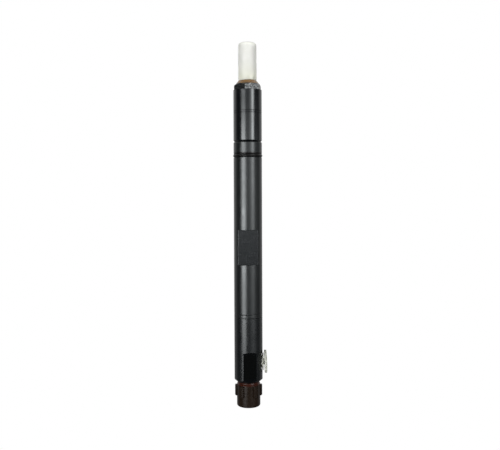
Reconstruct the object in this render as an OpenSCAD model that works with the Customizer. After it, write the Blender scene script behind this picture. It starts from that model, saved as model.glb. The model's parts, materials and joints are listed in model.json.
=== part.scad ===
// Slim probe-type pH meter, standing on its battery cap with the sensing tip up.
// The origin is on the axis, at the flat base of the battery cap.

/* [Barrel] */
// Outer diameter of the foot, barrel and head
barrel_d = 22; // [22:0.2:28]
// Length of the long barrel tube
barrel_len = 133.1; // [125:0.1:165]
// Wall of the barrel's lower bore
barrel_wall = 2; // [1.8:0.1:2.4]
// Height of the spacer ring between foot and barrel
spacer_h = 3.2; // [2:0.1:6]
// Depth of the wrench flats below the barrel's surface
flat_depth = 3.08; // [1:0.02:3.2]
// Height of the wrench flats
flat_h = 26.9; // [15:0.1:32]
// Start of the wrench flats above the barrel's lower end
flat_start = 38.2; // [36:0.1:50]
// Depth of the outer seal groove
groove_depth = 2.27; // [1:0.01:2.4]
// Width of the outer seal groove
groove_w = 3.7; // [3:0.1:4.5]
// Height of the collar above the outer seal groove
collar_h = 8.4; // [6:0.1:14]
// Cord diameter of the outer seal
seal_cord = 2.62; // [2:0.01:2.7]

/* [Foot] */
// Length of the foot housing that shows
foot_len = 50.4; // [42:0.1:62]
// Wall of the foot housing
foot_wall = 2.2; // [1.8:0.1:2.4]
// Depth of the display flat below the surface
display_flat_depth = 1.17; // [1:0.01:1.3]
// Height of the display flat's arched top above the foot's end
display_flat_top = 24.4; // [22:0.1:30]
// Radius of the arch at the top of the display flat
display_arch_r = 8.5; // [7:0.1:12]
// Turn of the display towards the button, in degrees
display_turn = 7.8; // [0:0.1:12]
// Width of the display window
window_w = 8.8; // [6:0.1:8.8]
// Length of the foot housing's spigot inside the barrel
joint_spigot_len = 11; // [8:0.5:14]

/* [Button] */
// Height of the button's axis above the base
button_z = 34.9; // [32:0.1:38]
// Diameter of the round press pad
pad_d = 17.9; // [14:0.1:20]
// Thickness of the press pad
pad_t = 2.6; // [1.6:0.1:3]
// Distance from the barrel's surface to the pad's inner face
pad_lift = 1.9; // [1.6:0.1:2.5]
// Diameter of the seal collar behind the pad
collar_flange_d = 13.7; // [11:0.1:15]
// Diameter of the button's stem
stem_d = 5; // [3:0.1:5.4]

/* [Battery] */
// Diameter of the cell
cell_d = 10.5; // [8.5:0.1:10.5]
// Length of the cell with its nub
cell_len = 44.5; // [38:0.1:46]
// Wall of the battery tube
battery_tube_wall = 0.7; // [0.6:0.05:0.8]

/* [Battery cap] */
// Height of the battery cap
cap_h = 19.3; // [17:0.1:22]
// Wall of the cap around its thread
cap_wall = 1.71; // [1.4:0.01:2]
// Height of the grip ribs
rib_h = 8.9; // [5:0.1:9]
// Reach of the grip ribs beyond the cap
rib_reach = 1.47; // [0.8:0.01:1.8]
// Width of a grip rib
rib_w = 2.7; // [2:0.1:3.5]
// Number of grip ribs
rib_count = 6; // [4:1:8]

/* [Head] */
// Length of the head below its hexagon
head_len = 39.5; // [32:0.1:48]
// Height of the hexagon
hex_h = 4.7; // [3:0.1:8]
// Turn of the hexagon's front face towards the button, in degrees
hex_turn = 19.5; // [0:0.5:60]
// Length of the head's threaded spigot
head_spigot_len = 9; // [8:0.5:9]
// Height of the lower scribed line above the head's lower end
scribe_start = 21.8; // [10:0.1:28]

/* [Sensor] */
// Diameter of the sensor cartridge
sensor_d = 12; // [10:0.1:14.4]
// Wall of the sensor cartridge
sensor_wall = 1.1; // [0.8:0.05:1.3]
// Length of the sensor above the head
sensor_reach = 25.9; // [22:0.1:32]
// Height of the conical collar
cone_h = 2.6; // [1.5:0.1:4]
// Reach of the conical collar beyond the cartridge at its base
cone_reach = 3.1; // [2:0.1:3.1]
// Radius of the glass bulb
bulb_r = 3.6; // [2.5:0.1:3.7]

/* [Wetting cap] */
// Length of the wetting cap
wet_cap_len = 29; // [26:0.1:36]
// Wall of the wetting cap
wet_cap_wall = 0.95; // [0.7:0.05:1.5]

/* [Fits] */
// Radial play between pieces that slide or screw together
play = 0.05; // [0.02:0.01:0.08]
// Gap between faces that screw down towards each other
seat_gap = 0.2; // [0.1:0.05:0.3]

/* [Hidden] */
$fn = 64;
eps = 0.01;
far = 60;

// Radii, from the axis outwards
barrel_r = barrel_d / 2;
cell_r = cell_d / 2;
tube_in_r = cell_r + 0.15;
tube_out_r = tube_in_r + battery_tube_wall;
cap_spigot_bore_r = tube_out_r + 2 * play;
cap_spigot_r = cap_spigot_bore_r + 1.2;
cap_thread_r = cap_spigot_r + play;
cap_r = cap_thread_r + cap_wall;
foot_bore_r = barrel_r - foot_wall;
foot_spigot_r = barrel_r - 1.4;
foot_spigot_bore_r = foot_spigot_r - 1.6;
barrel_bore_r = barrel_r - barrel_wall;
flat_apothem = barrel_r - flat_depth;
neck_bore_r = flat_apothem - 1.72;
sensor_r = sensor_d / 2;
sensor_bore_r = sensor_r - sensor_wall;
head_bore_r = sensor_r + play;
head_spigot_r = head_bore_r + 0.95;
barrel_thread_r = head_spigot_r + play;
head_groove_r = barrel_thread_r + 1.85;
groove_floor_r = barrel_r - groove_depth;
hex_apothem = (barrel_r - 0.05) * cos(30);
cone_r = sensor_r + cone_reach;
wet_cap_in_r = sensor_r + 2 * play;
wet_cap_r = wet_cap_in_r + wet_cap_wall;

// Heights, from the base upwards
cap_floor_t = 1.8;
cell_z = 4;
cap_spigot_z = 11;
foot_z = cap_h + seat_gap;
foot_floor_t = 3;
foot_top_z = foot_z + foot_len;
barrel_z = foot_top_z + spacer_h;
barrel_top_z = barrel_z + barrel_len;
flat_z = barrel_z + flat_start;
groove_z = barrel_top_z - collar_h - groove_w;
head_z = barrel_top_z + seat_gap;
hex_z = head_z + head_len;
head_top_z = hex_z + hex_h;
cone_top_z = head_top_z + cone_h;
sensor_top_z = head_top_z + sensor_reach;
wet_cap_z = cone_top_z + 0.1;
wet_cap_top_z = wet_cap_z + wet_cap_len;

// Battery compartment and what stands on it
cell_top_z = cell_z + cell_len;
contact_z = cell_top_z + 0.95;
contact_t = 3;
contact_r = tube_out_r + 0.8;
crossbar_z = contact_z + contact_t;
crossbar_t = 2.5;
board_z = crossbar_z + crossbar_t + 0.2;
board_len = 48.8;
board_w = 13;
board_t = 1.2;
board_top_z = board_z + board_len;
rail_slot = 0.05;
carrier_r = foot_spigot_bore_r - play;

// Display stack, measured out from the axis
panel_in = tube_out_r + 0.1;
panel_t = 1.2;
window_in = panel_in + panel_t + play;
window_out = barrel_r - display_flat_depth;
window_z = foot_z + 3.9;
window_margin = 1.6;
flat_top_z = foot_z + display_flat_top;
window_top_z = flat_top_z - window_margin;

// Button stack, measured out from the axis
board_x = tube_out_r + 0.2;
button_board_t = 0.8;
switch_x = board_x + button_board_t;
switch_t = 0.8;
plunger_x = switch_x + 0.35;
plunger_out_x = switch_x + switch_t + 0.4;
spot_x = barrel_r - 0.9;
pad_x = barrel_r + pad_lift;
collar_out_x = barrel_r + 0.9;
stem_r = stem_d / 2;
flange_r = collar_flange_d / 2;

// Contacts between head and barrel
lead_y = -2.1;
lead_xs = [-2.9, -0.2, 1.9, 3.9];
pin_block_z = head_z - head_spigot_len - 6.4;
pin_block_t = 3.5;
pin_tip_z = head_z - head_spigot_len;
disc_z = pin_tip_z + 0.15;
disc_t = 0.8;
sensor_z = disc_z + disc_t + 0.1;

// ---------- helpers ----------

// A straight tube, or a rod when r_in is 0
module tube(r_out, r_in, z0, z1) {
    translate([0, 0, z0])
    difference() {
        cylinder(r = r_out, h = z1 - z0);
        if (r_in > 0)
            translate([0, 0, -eps]) cylinder(r = r_in, h = z1 - z0 + 2 * eps);
    }
}

// A cylinder along +X from x0 to x1
module x_rod(r, x0, x1) {
    translate([x0, 0, 0]) rotate([0, 90, 0]) cylinder(r = r, h = x1 - x0);
}

// A box given by its lowest and highest corners
module block(low, high) {
    translate(low) cube(high - low);
}

// A round cord of radius r lying in a circle of radius ring_r at height z
module seal_ring(ring_r, r, z) {
    translate([0, 0, z]) rotate_extrude() translate([ring_r, 0]) circle(r = r, $fn = 32);
}

// Points of an arc, as a rounded corner in a profile
function arc(cx, cz, r, a0, a1, steps = 6) =
    [for (i = [0 : steps]) let (a = a0 + (a1 - a0) * i / steps) [cx + r * cos(a), cz + r * sin(a)]];

// The display's own directions: its front faces -Y
module at_display() {
    rotate([0, 0, display_turn]) children();
}

// The button's own directions: +X out of the barrel
module at_button() {
    translate([0, 0, button_z]) children();
}

// Outline of a plate with an arched top
module arched_outline(half_w, z0, z_top, arch_r) {
    intersection() {
        translate([-half_w, z0]) square([2 * half_w, z_top - z0]);
        union() {
            translate([-half_w, z0]) square([2 * half_w, z_top - arch_r - z0]);
            translate([0, z_top - arch_r]) circle(r = arch_r);
        }
    }
}

// The arched outline as a plate from y = -y_in out to y = -y_out
module arched_plate(half_w, z0, z_top, arch_r, y_in, y_out) {
    translate([0, -y_in, 0])
    rotate([90, 0, 0])
    linear_extrude(y_out - y_in) arched_outline(half_w, z0, z_top, arch_r);
}

// ---------- barrel ----------

module barrel_tube() {
    v_depth = 0.7;
    v_h = 0.8;
    line = 0.15;
    neck_z = flat_z - 3.3;
    color("#1d1f21")
    difference() {
        rotate_extrude() polygon([
            [foot_spigot_r + play, barrel_z], [barrel_r - line, barrel_z], [barrel_r, barrel_z + line],
            [barrel_r, groove_z], [groove_floor_r, groove_z], [groove_floor_r, groove_z + groove_w],
            [barrel_r, groove_z + groove_w], [barrel_r, barrel_top_z - v_h],
            [barrel_r - v_depth, barrel_top_z], [head_groove_r, barrel_top_z],
            [head_groove_r, barrel_top_z - 1.6], [barrel_thread_r, barrel_top_z - 1.6],
            [barrel_thread_r, pin_block_z], [neck_bore_r, pin_block_z], [neck_bore_r, neck_z],
            [barrel_bore_r, neck_z], [barrel_bore_r, barrel_z + joint_spigot_len + 0.5],
            [foot_spigot_r + play, barrel_z + joint_spigot_len + 0.5]]);
        for (side = [-1, 1])
            translate([-far / 2, side * (flat_apothem + far / 2) - far / 2, flat_z])
                cube([far, far, flat_h]);
    }
}

module spacer_ring() {
    line = 0.15;
    color("#1a1c1e")
    rotate_extrude() polygon([
        [foot_spigot_r + play, foot_top_z], [barrel_r - line, foot_top_z], [barrel_r, foot_top_z + line],
        [barrel_r, barrel_z - line], [barrel_r - line, barrel_z], [foot_spigot_r + play, barrel_z]]);
}

module barrel_seal() {
    color("#0b0b0c")
    seal_ring(groove_floor_r + seal_cord / 2, seal_cord / 2, groove_z + seal_cord / 2 + 0.15);
}

joint_groove_z = barrel_z + 4;
joint_groove_w = 1.1;
joint_groove_depth = 0.75;

module joint_seal() {
    cord_r = joint_groove_depth / 2;
    color("#0b0b0c")
    seal_ring(foot_spigot_r - cord_r, cord_r, joint_groove_z + joint_groove_w / 2);
}

// ---------- foot ----------

module foot_housing() {
    chamfer_h = 2;
    foot_end_r = cap_r - 0.46;
    line = 0.15;
    spigot_top_z = barrel_z + joint_spigot_len - spacer_h;
    spigot_bore_z = foot_top_z - 4;
    color("#17191a")
    difference() {
        rotate_extrude() polygon([
            [cap_spigot_bore_r, cap_spigot_z], [cap_spigot_r, cap_spigot_z], [cap_spigot_r, foot_z],
            [foot_end_r, foot_z], [barrel_r, foot_z + chamfer_h], [barrel_r, foot_top_z - line],
            [barrel_r - line, foot_top_z], [foot_spigot_r, foot_top_z],
            [foot_spigot_r, joint_groove_z],
            [foot_spigot_r - joint_groove_depth, joint_groove_z],
            [foot_spigot_r - joint_groove_depth, joint_groove_z + joint_groove_w],
            [foot_spigot_r, joint_groove_z + joint_groove_w], [foot_spigot_r, spigot_top_z],
            [foot_spigot_bore_r, spigot_top_z], [foot_spigot_bore_r, spigot_bore_z],
            [foot_bore_r, spigot_bore_z], [foot_bore_r, foot_z + foot_floor_t],
            [cap_spigot_bore_r, foot_z + foot_floor_t]]);
        at_display()
            arched_plate(display_arch_r, foot_z - 5, flat_top_z, display_arch_r, window_out, far);
        at_display()
            arched_plate(window_w / 2, window_z, window_top_z, display_arch_r - window_margin,
                         foot_bore_r - 3, far);
        at_button() x_rod(flange_r + 0.7, spot_x, far);
        at_button() x_rod(stem_r + play, foot_bore_r - 1, far);
    }
}

module display_window() {
    color("#08090a")
    at_display()
    arched_plate(window_w / 2 - play, window_z + play, window_top_z - play,
                 display_arch_r - window_margin, window_in, window_out);
}

panel_half_w = window_w / 2 - 0.1;
panel_top_z = window_top_z - 2.5;

module display_panel() {
    color("#20242a")
    at_display()
    block([-panel_half_w, -panel_in - panel_t, window_z + 0.5], [panel_half_w, -panel_in, panel_top_z]);
}

module display_flex() {
    half_w = 2.5;
    flex_t = 0.25;
    flex_in = contact_r + 0.1;
    turn_z = board_z + 2.5;
    end_y = board_t / 2 + 0.4;
    color("#b5702a")
    at_display() {
        block([-half_w, -flex_in - flex_t, panel_top_z], [half_w, -flex_in, turn_z]);
        block([-half_w, -flex_in - flex_t, turn_z - flex_t], [half_w, -end_y, turn_z]);
    }
}

// ---------- electronics ----------

module main_board() {
    color("#1f5c3a")
    difference() {
        block([-board_w / 2, -board_t / 2, board_z], [board_w / 2, board_t / 2, board_top_z]);
        for (z = [board_z + 12, board_top_z - 8])
            translate([0, board_t, z]) rotate([90, 0, 0]) cylinder(r = 0.8, h = 2 * board_t);
    }
}

module processor_chip() {
    size = 6;
    z0 = board_z + 17;
    color("#16171a")
    block([-size / 2, -board_t / 2 - 1, z0], [size / 2, -board_t / 2, z0 + size]);
}

module amplifier_can() {
    z0 = board_z + 26;
    color("#b9bcc0")
    block([-4.5, board_t / 2, z0], [4.5, board_t / 2 + 2, z0 + 12]);
}

module radio_antenna() {
    z0 = board_z + 6;
    color("#d8d6cc")
    block([-4.5, board_t / 2, z0], [-2.5, board_t / 2 + 1.2, z0 + 7]);
}

module small_parts() {
    pitch = 1.9;
    color("#8a7a5c")
    for (row = [0 : 4], side = [-1, 1])
        translate([side * 4 - 0.5, -board_t / 2 - 0.6, board_z + 25 + row * pitch])
            cube([1, 0.6, 1.2]);
}

connector_z = board_top_z - 7;
connector_h = 5;
connector_y = 3.0;

module board_connector() {
    color("#e9e4d4")
    block([-5, -board_t / 2 - connector_y, connector_z], [5, -board_t / 2, connector_z + connector_h]);
}

screw_x = 4;

module board_carrier() {
    rail_in = board_w / 2 - 0.9;
    rail_y = 1.6;
    ring_h = 3;
    color("#2b2e33")
    difference() {
        union() {
            intersection() {
                block([-far, -2, crossbar_z], [far, 2, crossbar_z + crossbar_t]);
                tube(contact_r, 0, crossbar_z, crossbar_z + crossbar_t);
            }
            intersection() {
                for (side = [-1, 1])
                    translate([side > 0 ? rail_in : -carrier_r, -rail_y, crossbar_z])
                        cube([carrier_r - rail_in, 2 * rail_y, board_top_z - crossbar_z]);
                tube(carrier_r, 0, crossbar_z, board_top_z);
            }
            tube(carrier_r, carrier_r - 0.9, board_top_z - ring_h, board_top_z);
        }
        block([-board_w / 2 - rail_slot, -board_t / 2 - rail_slot, board_z - rail_slot],
              [board_w / 2 + rail_slot, board_t / 2 + rail_slot, board_top_z + eps]);
        for (side = [-1, 1])
            translate([side * screw_x, 0, 0]) {
                tube(0.95, 0, crossbar_z - eps, board_z);
                tube(1.8, 0, crossbar_z + crossbar_t - 1.3, board_z);
            }
    }
}

module carrier_screws() {
    head_z0 = crossbar_z + crossbar_t - 1.3;
    color("#c9ccd0")
    for (side = [-1, 1])
        translate([side * screw_x, 0, 0])
        difference() {
            union() {
                tube(0.9, 0, crossbar_z - 2.2, head_z0);
                tube(1.7, 0, head_z0, head_z0 + 1.1);
            }
            translate([-1.2, -0.2, head_z0 + 0.6]) cube([2.4, 0.4, 1]);
        }
}

// ---------- button and its switch ----------

button_board_half_w = 4.4;

module button_board() {
    color("#1f5c3a")
    at_button()
    block([board_x, -button_board_half_w, -6], [switch_x, button_board_half_w, 6]);
}

module switch_body() {
    color("#2a2a2c")
    at_button()
    difference() {
        block([switch_x, -1.6, -1.6], [switch_x + switch_t, 1.6, 1.6]);
        x_rod(0.8 + play, switch_x + 0.02, switch_x + switch_t + eps);
    }
}

module switch_plunger() {
    color("#d9d9d6")
    at_button() x_rod(0.8, plunger_x, plunger_out_x);
}

module button_flex() {
    flex_t = 0.25;
    y_in = 2;
    y_out = 4.2;
    turn_z = board_z + 3.5;
    landing_x = board_w / 2 - 2.3;
    color("#b5702a") {
        block([switch_x, y_in, button_z + 4.5], [switch_x + flex_t, y_out, turn_z]);
        block([landing_x - 1.2, y_in, turn_z - flex_t], [switch_x + flex_t, y_out, turn_z]);
        block([landing_x - 1.2, board_t / 2, turn_z - flex_t], [landing_x, y_in, turn_z]);
    }
}

// Lens-shaped collar: a boss in the spot face that flares into a thin flange
module button_collar() {
    rim = 0.5;
    color([0.82, 0.83, 0.79, 0.8])
    at_button()
    rotate([0, 90, 0])
    rotate_extrude() polygon([
        [stem_r + 2 * play, spot_x], [flange_r * 0.62, spot_x], [flange_r, collar_out_x - rim - 0.3],
        [flange_r, collar_out_x - rim], [flange_r - 0.5, collar_out_x], [stem_r + 2 * play, collar_out_x]]);
}

// Round pad on a stem, slightly domed outside
module button_pad() {
    pad_r = pad_d / 2;
    edge = 0.8;
    color([0.84, 0.85, 0.81, 0.85])
    at_button()
    rotate([0, 90, 0])
    rotate_extrude() polygon([
        [0, plunger_out_x + play], [stem_r, plunger_out_x + play], [stem_r, pad_x], [pad_r - 0.6, pad_x],
        [pad_r, pad_x + 0.6], [pad_r, pad_x + pad_t - edge], [pad_r - edge, pad_x + pad_t - 0.2],
        [pad_r * 0.5, pad_x + pad_t], [0, pad_x + pad_t]]);
}

// ---------- battery compartment ----------

strip_half_w = 1;
strip_in = tube_in_r + 0.32;
strip_out = tube_out_r - 0.1;

module battery_tube() {
    color("#d8d8d4")
    difference() {
        tube(tube_out_r, tube_in_r, cap_spigot_z, contact_z);
        block([-strip_half_w - play, strip_in, cap_spigot_z - eps],
              [strip_half_w + play, strip_out + 1, contact_z + eps]);
    }
}

module contact_block() {
    color("#e2ded2")
    difference() {
        tube(contact_r, 1, contact_z, contact_z + contact_t);
        block([-strip_half_w - play, strip_in, contact_z - eps],
              [strip_half_w + play, far, contact_z + contact_t + eps]);
        for (side = [-1, 1])
            translate([side * screw_x, 0, 0])
                tube(0.9 + play, 0, crossbar_z - 2.3, crossbar_z + eps);
    }
}

module positive_contact() {
    color("#d4b45a") {
        tube(4, 0, contact_z - 0.4, contact_z);
        tube(1.5, 0, cell_top_z + play, contact_z - 0.4);
        tube(0.95, 0, contact_z - eps, contact_z + contact_t - 0.2);
    }
}

lead_x = -4.2;
battery_lead_y = -3.2;

module battery_lead() {
    r = 0.4;
    turn_z = board_z + 3;
    color("#b3261e") {
        translate([lead_x, battery_lead_y, 0]) tube(r, 0, crossbar_z, turn_z);
        translate([lead_x, -board_t / 2, turn_z - r]) rotate([90, 0, 0])
            cylinder(r = r, h = -battery_lead_y - board_t / 2);
    }
}

module ground_strip() {
    tail_z = 8.5;
    tab_z = board_z + 2;
    color("#c9a24a") {
        block([-strip_half_w, strip_in, tail_z], [strip_half_w, strip_out, tab_z]);
        block([-strip_half_w, board_t / 2, tab_z - 0.3], [strip_half_w, strip_out, tab_z]);
    }
}

module battery_cell() {
    nub_r = 1.9;
    nub_h = 0.8;
    color("#b98b35") {
        tube(cell_r, 0, cell_z, cell_top_z - nub_h);
        tube(nub_r, 0, cell_top_z - nub_h - eps, cell_top_z);
    }
}

// ---------- battery cap ----------

cap_groove_h = 2.1;
cap_groove_r = cap_thread_r + 1.05;
cap_chamber_r = tube_in_r + 0.6;

module foot_cap() {
    edge_r = 1.6;
    rib_top_z = cap_h - 2.3;
    shoulder_r = cap_r - 0.5;
    color("#2a1c14")
    union() {
        rotate_extrude() polygon(concat(
            [[0, 0]],
            arc(cap_r - edge_r, edge_r, edge_r, -90, 0),
            [[cap_r, rib_top_z + 0.5], [shoulder_r, cap_h - 0.7], [shoulder_r - 0.12, cap_h],
             [cap_groove_r, cap_h], [cap_groove_r, cap_h - cap_groove_h],
             [cap_thread_r, cap_h - cap_groove_h], [cap_thread_r, cap_spigot_z - 3],
             [cap_chamber_r, cap_spigot_z - 3], [cap_chamber_r, cap_floor_t], [0, cap_floor_t]]));
        for (i = [0 : rib_count - 1])
            rotate([0, 0, i * 360 / rib_count])
            intersection() {
                translate([cap_r - 0.8, -rib_w / 2, rib_top_z - rib_h])
                    cube([rib_reach + 0.8, rib_w, rib_h]);
                rotate_extrude() polygon([
                    [cap_r - 0.8, rib_top_z - rib_h], [cap_r + rib_reach - 0.8, rib_top_z - rib_h],
                    [cap_r + rib_reach, rib_top_z - rib_h + 0.8], [cap_r + rib_reach, rib_top_z - 0.4],
                    [cap_r + rib_reach - 0.4, rib_top_z], [cap_r - 0.8, rib_top_z]]);
            }
    }
}

module cap_seal() {
    cord_r = 0.48;
    color("#0b0b0c")
    seal_ring((cap_spigot_r + cap_groove_r) / 2, cord_r, foot_z - cord_r - play);
}

skirt_r = strip_in - 0.07;

module cap_contact() {
    color("#c9ccd0") {
        tube(skirt_r, 0, cap_floor_t, cap_floor_t + 0.4);
        tube(skirt_r, cell_r + 0.1, cap_floor_t + 0.4 - eps, cap_spigot_z - 0.5);
    }
}

// Helical spring with a round wire, swept along its own turns
module cap_spring() {
    wire_r = 0.22;
    turns = 2.5;
    steps_per_turn = 20;
    sides = 8;
    z0 = cap_floor_t + 0.4 + wire_r;
    z1 = cell_z - wire_r - play;
    count = turns * steps_per_turn;
    r_low = cell_r - 1;
    r_high = cell_r - 3;
    points = [for (i = [0 : count], j = [0 : sides - 1])
        let (t = i / count, a = 360 * turns * t, b = 360 * j / sides,
             r = r_low + (r_high - r_low) * t + wire_r * cos(b))
        [r * cos(a), r * sin(a), z0 + (z1 - z0) * t + wire_r * sin(b)]];
    walls = [for (i = [0 : count - 1], j = [0 : sides - 1])
        let (k = (j + 1) % sides)
        [i * sides + j, i * sides + k, (i + 1) * sides + k, (i + 1) * sides + j]];
    ends = [[for (j = [sides - 1 : -1 : 0]) j], [for (j = [0 : sides - 1]) count * sides + j]];
    color("#c9ccd0") polyhedron(points, concat(walls, ends));
}

// ---------- link between barrel and head ----------

function ring_r(x) = sqrt(x * x + lead_y * lead_y);

module at_leads() {
    for (x = lead_xs)
        translate([x, lead_y, 0]) children();
}

module signal_leads() {
    color("#9a3b2c")
    at_leads() tube(0.45, 0, connector_z + connector_h, pin_block_z - 0.5);
}

module pin_block() {
    color("#d9d2bd")
    difference() {
        tube(barrel_thread_r - play, 0, pin_block_z, pin_block_z + pin_block_t);
        at_leads() tube(0.8, 0, pin_block_z - eps, pin_block_z + pin_block_t + eps);
    }
}

module spring_pins() {
    color("#d4b45a")
    at_leads() {
        tube(0.75, 0, pin_block_z - 0.5, pin_block_z + pin_block_t + 0.8);
        tube(0.4, 0, pin_block_z + pin_block_t + 0.8 - eps, pin_tip_z);
    }
}

module head_seal() {
    cord_r = 0.72;
    color("#0b0b0c")
    seal_ring((head_spigot_r + head_groove_r) / 2, cord_r, head_z - cord_r - play);
}

// ---------- head ----------

sensor_seat_depth = 1.7;
sensor_seat_r = sensor_r + 1.5;

module head_sleeve() {
    v_depth = 0.7;
    v_h = 0.8;
    scribe_d = 0.14;
    scribe_w = 0.25;
    scribe_gap = 1.6;
    chamfer_drop = 1.6;
    lower = head_z + scribe_start;
    upper = lower + scribe_gap;
    seat_z = head_top_z - sensor_seat_depth;
    color("#121314")
    difference() {
        rotate_extrude() polygon([
            [head_bore_r, head_z - head_spigot_len], [head_spigot_r - 0.4, head_z - head_spigot_len],
            [head_spigot_r, head_z - head_spigot_len + 0.4], [head_spigot_r, head_z],
            [barrel_r - v_depth, head_z], [barrel_r, head_z + v_h],
            [barrel_r, lower - scribe_w / 2], [barrel_r - scribe_d, lower],
            [barrel_r, lower + scribe_w / 2], [barrel_r, upper - scribe_w / 2],
            [barrel_r - scribe_d, upper], [barrel_r, upper + scribe_w / 2],
            [barrel_r, head_top_z - chamfer_drop], [cone_r, head_top_z],
            [sensor_seat_r, head_top_z], [sensor_seat_r, seat_z], [head_bore_r, seat_z]]);
        for (i = [0 : 5])
            rotate([0, 0, hex_turn - 90 + i * 60])
            translate([hex_apothem, -far / 2, hex_z]) cube([far, far, hex_h + 1]);
    }
}

module sensor_seal() {
    cord_r = 0.65;
    color("#0b0b0c")
    seal_ring((sensor_r + sensor_seat_r) / 2, cord_r, head_top_z - cord_r - play);
}

// ---------- sensor cartridge ----------

junction_z = head_top_z + 9.4;
junction_t = 3;
bulb_z = sensor_top_z - 8;
guard_ring_h = 3.5;

module sensor_body() {
    slot_w = 5;
    color("#b8895a")
    difference() {
        rotate_extrude() polygon([
            [sensor_bore_r, sensor_z], [sensor_r, sensor_z], [sensor_r, head_top_z],
            [cone_r, head_top_z], [sensor_r + 1.1, cone_top_z], [sensor_r, cone_top_z],
            [sensor_r, sensor_top_z - 0.8], [sensor_r - 0.8, sensor_top_z],
            [sensor_bore_r, sensor_top_z]]);
        for (turn = [45, 135])
            rotate([0, 0, turn])
            block([-far, -slot_w / 2, junction_z + junction_t + 0.5],
                  [far, slot_w / 2, sensor_top_z - guard_ring_h]);
    }
}

stem_out_r = 1.7;
stem_in_r = 1.2;

module glass_bulb() {
    color([0.85, 0.92, 0.92, 0.5])
    difference() {
        union() {
            translate([0, 0, bulb_z]) sphere(r = bulb_r);
            tube(stem_out_r, 0, sensor_z + 0.5, bulb_z);
        }
        translate([0, 0, bulb_z]) sphere(r = bulb_r - 0.4);
        tube(stem_in_r, 0, sensor_z, bulb_z);
    }
}

module silver_wire() {
    color("#d9dadd")
    tube(0.35, 0, disc_z + disc_t, bulb_z - 1);
}

side_r = (stem_out_r + sensor_bore_r) / 2;

// The two side bores of the junction and plug, for the reference wire and the probe
module side_rod(side, r, z0, z1) {
    translate([side * side_r, 0, 0]) tube(r, 0, z0, z1);
}

module reference_wire() {
    color("#d9dadd")
    side_rod(1, 0.35, disc_z + disc_t, junction_z - 4);
}

module temperature_probe() {
    color("#aeb2b6")
    side_rod(-1, 0.9, disc_z + disc_t, junction_z + junction_t + 2);
}

module reference_junction() {
    color("#e8e6df")
    difference() {
        tube(sensor_bore_r - play, stem_out_r + play, junction_z, junction_z + junction_t);
        side_rod(-1, 0.9 + play, junction_z - eps, junction_z + junction_t + eps);
    }
}

module potting_plug() {
    plug_z = sensor_z + 1;
    plug_h = 4;
    color("#34373a")
    difference() {
        tube(sensor_bore_r - play, stem_out_r + play, plug_z, plug_z + plug_h);
        side_rod(-1, 0.9 + play, plug_z - eps, plug_z + plug_h + eps);
        side_rod(1, 0.35 + play, plug_z - eps, plug_z + plug_h + eps);
    }
}

module contact_disc() {
    color("#1f5c3a")
    tube(sensor_r - play, 0, disc_z, disc_z + disc_t);
}

module contact_rings() {
    color("#d4b45a")
    for (x = lead_xs)
        tube(ring_r(x) + 0.25, ring_r(x) - 0.25, disc_z - 0.1, disc_z);
}

// ---------- wetting cap ----------

wet_cap_roof = 2.5;

module wetting_cap() {
    edge_r = 2.3;
    roof_z = wet_cap_top_z - wet_cap_roof;
    color([0.9, 0.9, 0.88, 0.85])
    rotate_extrude() polygon(concat(
        [[wet_cap_in_r, wet_cap_z], [wet_cap_r - 0.2, wet_cap_z], [wet_cap_r, wet_cap_z + 0.2]],
        arc(wet_cap_r - edge_r, wet_cap_top_z - edge_r, edge_r, 0, 90),
        [[0, wet_cap_top_z], [0, roof_z], [wet_cap_in_r, roof_z]]));
}

module storage_sponge() {
    color("#e4d9a8")
    tube(sensor_r - 0.5, 0, sensor_top_z + 0.4, wet_cap_top_z - wet_cap_roof);
}

// ---------- everything ----------

barrel_tube();
foot_housing();
spacer_ring();
barrel_seal();
joint_seal();
display_window();
display_panel();
display_flex();
main_board();
processor_chip();
amplifier_can();
radio_antenna();
small_parts();
board_connector();
board_carrier();
carrier_screws();
button_board();
switch_body();
button_flex();
button_collar();
battery_tube();
contact_block();
positive_contact();
battery_lead();
ground_strip();
signal_leads();
pin_block();
spring_pins();
head_seal();
head_sleeve();
sensor_body();
glass_bulb();
silver_wire();
reference_junction();
reference_wire();
temperature_probe();
potting_plug();
sensor_seal();
contact_disc();
contact_rings();
wetting_cap();
storage_sponge();
cap_seal();
battery_cell();
foot_cap();
cap_contact();
cap_spring();
button_pad();
switch_plunger();
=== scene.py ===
# %% [markdown]
# # A slim pH meter that stands on its battery cap
# The meter is a black turned barrel with a screwed-on sensor head at the top, a milky cap over the
# sensing tip, a round silicone push button near the foot and a ribbed brown cap over the cell.
# The imported model gives every place and size. We load it first, and read each node's box from it.
# The pieces that we make here have to stay inside it.
# %% Load the imported frame
import json
import math

import bmesh
import bpy
from mathutils import Matrix, Vector


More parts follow.
